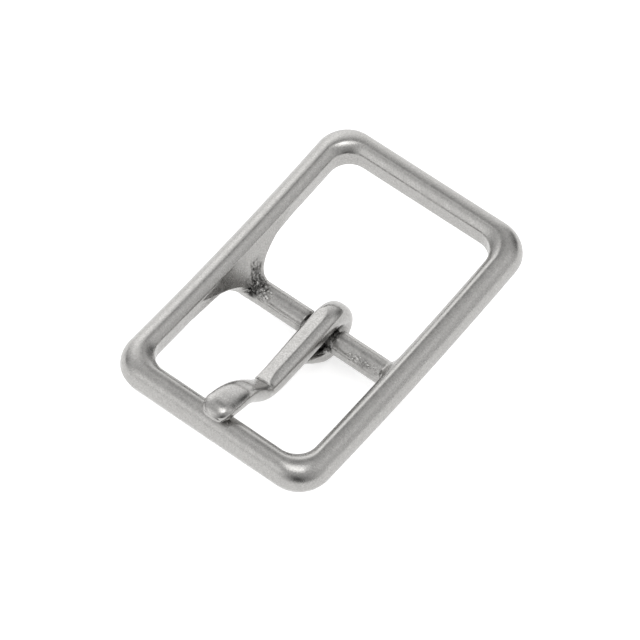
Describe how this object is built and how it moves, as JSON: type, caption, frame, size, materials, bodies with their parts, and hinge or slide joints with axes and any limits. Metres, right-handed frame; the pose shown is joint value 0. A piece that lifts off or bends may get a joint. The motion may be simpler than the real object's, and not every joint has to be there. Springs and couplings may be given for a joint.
{
  "type": "belt buckle",
  "caption": "Rectangular centre-bar belt buckle with a dropped bar, rounded corners and a hooked pivoting tongue, for a 25 mm strap.",
  "frame": {"origin": "middle of the outline, level with the lowest point of the hook round the bar", "axes": "+X along the bar, +Y from the tongue's tip across the bar to the rear rail, +Z out of the buckle's front"},
  "size_m": [0.0348, 0.0528, 0.0165],
  "materials": {
    "frame_steel": "cast stainless steel, tumbled to a soft satin",
    "tongue_steel": "cast stainless steel, tumbled to a soft satin, slightly brighter where it rubs"
  },
  "bodies": {
    "frame": {"frame": "frame_steel"},
    "tongue": {"tongue": "tongue_steel"}
  },
  "joints": [
    {"name": "tongue_pivot", "type": "hinge", "parent": "frame", "child": "tongue", "pos_m": [0, 0, 0.0045], "axis": [-1, 0, 0], "range_deg": [0, 129]}
  ]
}
